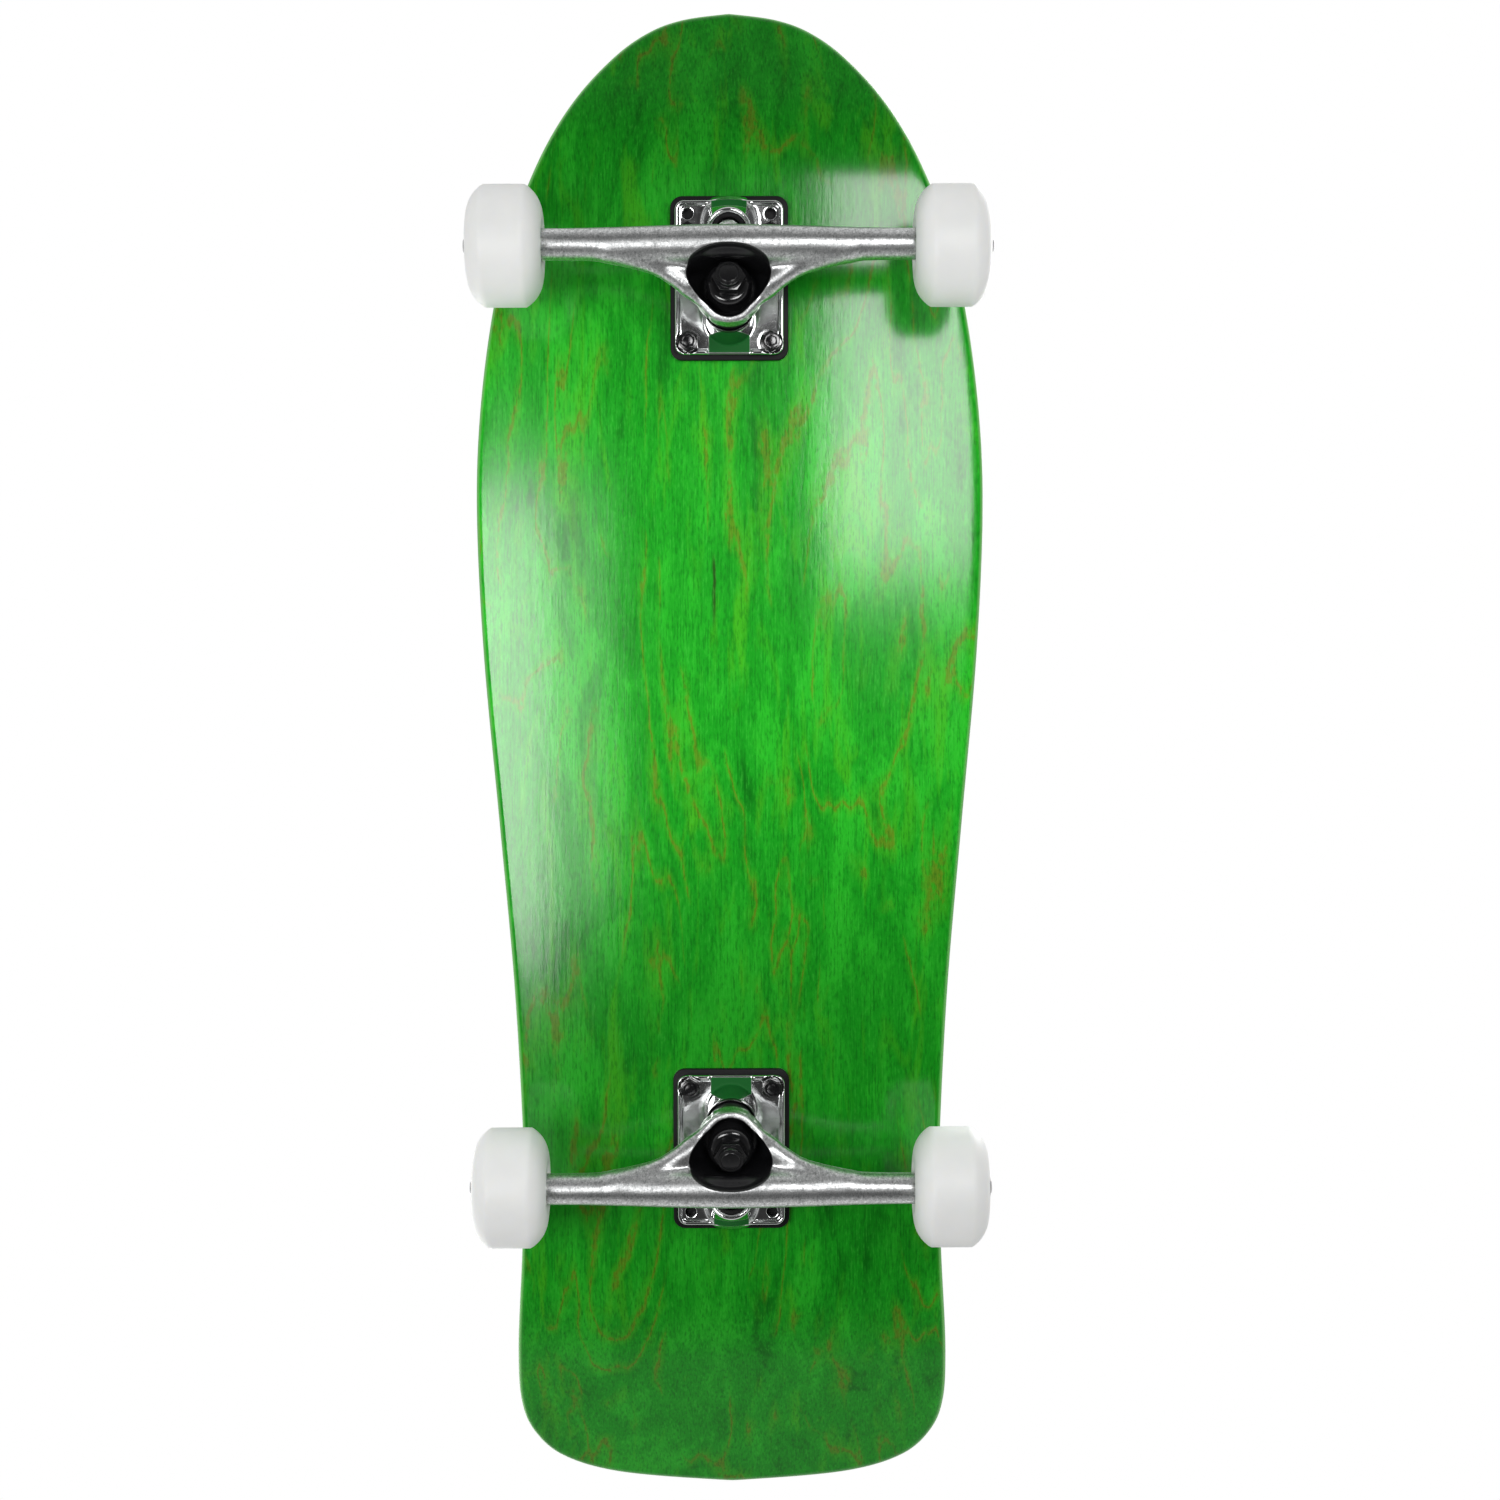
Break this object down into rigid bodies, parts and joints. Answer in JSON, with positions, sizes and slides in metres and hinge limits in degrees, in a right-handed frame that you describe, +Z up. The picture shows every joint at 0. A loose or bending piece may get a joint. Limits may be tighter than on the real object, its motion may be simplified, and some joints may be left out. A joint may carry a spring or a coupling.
{
  "type": "skateboard",
  "caption": "Wide cruiser skateboard with green-stained maple deck, cast trucks that steer on urethane bushings, and white ball-bearing wheels.",
  "frame": {"origin": "middle of the deck's length and width, at the level where the wheels rest", "axes": "+X to the nose, +Y to the rider's left, +Z up"},
  "size_m": [0.7621, 0.2568, 0.1343],
  "materials": {
    "green_maple": "green stain under gloss lacquer",
    "griptape": "black abrasive grit",
    "black_plastic": "moulded, satin",
    "polished_aluminium": "cast and polished bright",
    "cast_aluminium": "cast, tumbled and polished, fine speckle",
    "black_steel": "black oxide",
    "steel": "zinc plated",
    "bearing_steel": "ground and polished",
    "bearing_shield": "black shield",
    "black_urethane": "cast urethane, satin",
    "white_urethane": "cast urethane, slightly translucent"
  },
  "bodies": {
    "board": {"deck": "green_maple", "griptape": "griptape", "front_riser": "black_plastic", "front_baseplate": "polished_aluminium", "front_pivot_cup": "black_plastic", "front_kingpin": "black_steel", "front_board_washer": "black_steel", "front_board_bushing": "black_urethane", "front_road_bushing": "black_urethane", "front_road_washer": "black_steel", "front_kingpin_nut": "black_steel", "front_mount_bolts": "black_steel", "front_mount_nuts": "black_steel", "rear_riser": "black_plastic", "rear_baseplate": "polished_aluminium", "rear_pivot_cup": "black_plastic", "rear_kingpin": "black_steel", "rear_board_washer": "black_steel", "rear_board_bushing": "black_urethane", "rear_road_bushing": "black_urethane", "rear_road_washer": "black_steel", "rear_kingpin_nut": "black_steel", "rear_mount_bolts": "black_steel", "rear_mount_nuts": "black_steel"},
    "front_hanger": {"front_hanger": "cast_aluminium", "front_axle": "steel", "front_axle_nuts": "black_steel", "front_speed_washers": "steel", "front_left_bearing_inners": "bearing_steel", "front_left_spacer": "steel", "front_right_bearing_inners": "bearing_steel", "front_right_spacer": "steel"},
    "rear_hanger": {"rear_hanger": "cast_aluminium", "rear_axle": "steel", "rear_axle_nuts": "black_steel", "rear_speed_washers": "steel", "rear_left_bearing_inners": "bearing_steel", "rear_left_spacer": "steel", "rear_right_bearing_inners": "bearing_steel", "rear_right_spacer": "steel"},
    "front_left_wheel": {"front_left_wheel": "white_urethane", "front_left_bearing_outers": "bearing_steel", "front_left_bearing_shields": "bearing_shield"},
    "front_left_balls": {"front_left_bearing_balls": "bearing_steel"},
    "front_right_wheel": {"front_right_wheel": "white_urethane", "front_right_bearing_outers": "bearing_steel", "front_right_bearing_shields": "bearing_shield"},
    "front_right_balls": {"front_right_bearing_balls": "bearing_steel"},
    "rear_left_wheel": {"rear_left_wheel": "white_urethane", "rear_left_bearing_outers": "bearing_steel", "rear_left_bearing_shields": "bearing_shield"},
    "rear_left_balls": {"rear_left_bearing_balls": "bearing_steel"},
    "rear_right_wheel": {"rear_right_wheel": "white_urethane", "rear_right_bearing_outers": "bearing_steel", "rear_right_bearing_shields": "bearing_shield"},
    "rear_right_balls": {"rear_right_bearing_balls": "bearing_steel"}
  },
  "joints": [
    {"name": "front_steer", "type": "hinge", "parent": "board", "child": "front_hanger", "pos_m": [0.23206, 0, 0.0491], "axis": [0.8614, 0, 0.5079], "range_deg": [-12, 12], "stiffness_Nm_per_rad": 40, "deforming": ["front_board_bushing", "front_road_bushing"]},
    {"name": "rear_steer", "type": "hinge", "parent": "board", "child": "rear_hanger", "pos_m": [-0.18206, 0, 0.0491], "axis": [-0.8614, 0, 0.5079], "range_deg": [-12, 12], "stiffness_Nm_per_rad": 40, "deforming": ["rear_board_bushing", "rear_road_bushing"]},
    {"name": "front_left_spin", "type": "hinge", "parent": "front_hanger", "child": "front_left_wheel", "pos_m": [0.2525, 0.107, 0.029], "axis": [0, 1, 0], "continuous": true},
    {"name": "front_left_ball_roll", "type": "hinge", "parent": "front_hanger", "child": "front_left_balls", "pos_m": [0.2525, 0.107, 0.029], "axis": [0, 1, 0], "continuous": true},
    {"name": "front_right_spin", "type": "hinge", "parent": "front_hanger", "child": "front_right_wheel", "pos_m": [0.2525, -0.107, 0.029], "axis": [0, 1, 0], "continuous": true},
    {"name": "front_right_ball_roll", "type": "hinge", "parent": "front_hanger", "child": "front_right_balls", "pos_m": [0.2525, -0.107, 0.029], "axis": [0, 1, 0], "continuous": true},
    {"name": "rear_left_spin", "type": "hinge", "parent": "rear_hanger", "child": "rear_left_wheel", "pos_m": [-0.2025, 0.107, 0.029], "axis": [0, 1, 0], "continuous": true},
    {"name": "rear_left_ball_roll", "type": "hinge", "parent": "rear_hanger", "child": "rear_left_balls", "pos_m": [-0.2025, 0.107, 0.029], "axis": [0, 1, 0], "continuous": true},
    {"name": "rear_right_spin", "type": "hinge", "parent": "rear_hanger", "child": "rear_right_wheel", "pos_m": [-0.2025, -0.107, 0.029], "axis": [0, 1, 0], "continuous": true},
    {"name": "rear_right_ball_roll", "type": "hinge", "parent": "rear_hanger", "child": "rear_right_balls", "pos_m": [-0.2025, -0.107, 0.029], "axis": [0, 1, 0], "continuous": true}
  ],
  "couplings": [
    {"joint": "front_left_ball_roll", "follows": "front_left_spin", "ratio": 0.63233},
    {"joint": "front_right_ball_roll", "follows": "front_right_spin", "ratio": 0.63233},
    {"joint": "rear_left_ball_roll", "follows": "rear_left_spin", "ratio": 0.63233},
    {"joint": "rear_right_ball_roll", "follows": "rear_right_spin", "ratio": 0.63233}
  ]
}
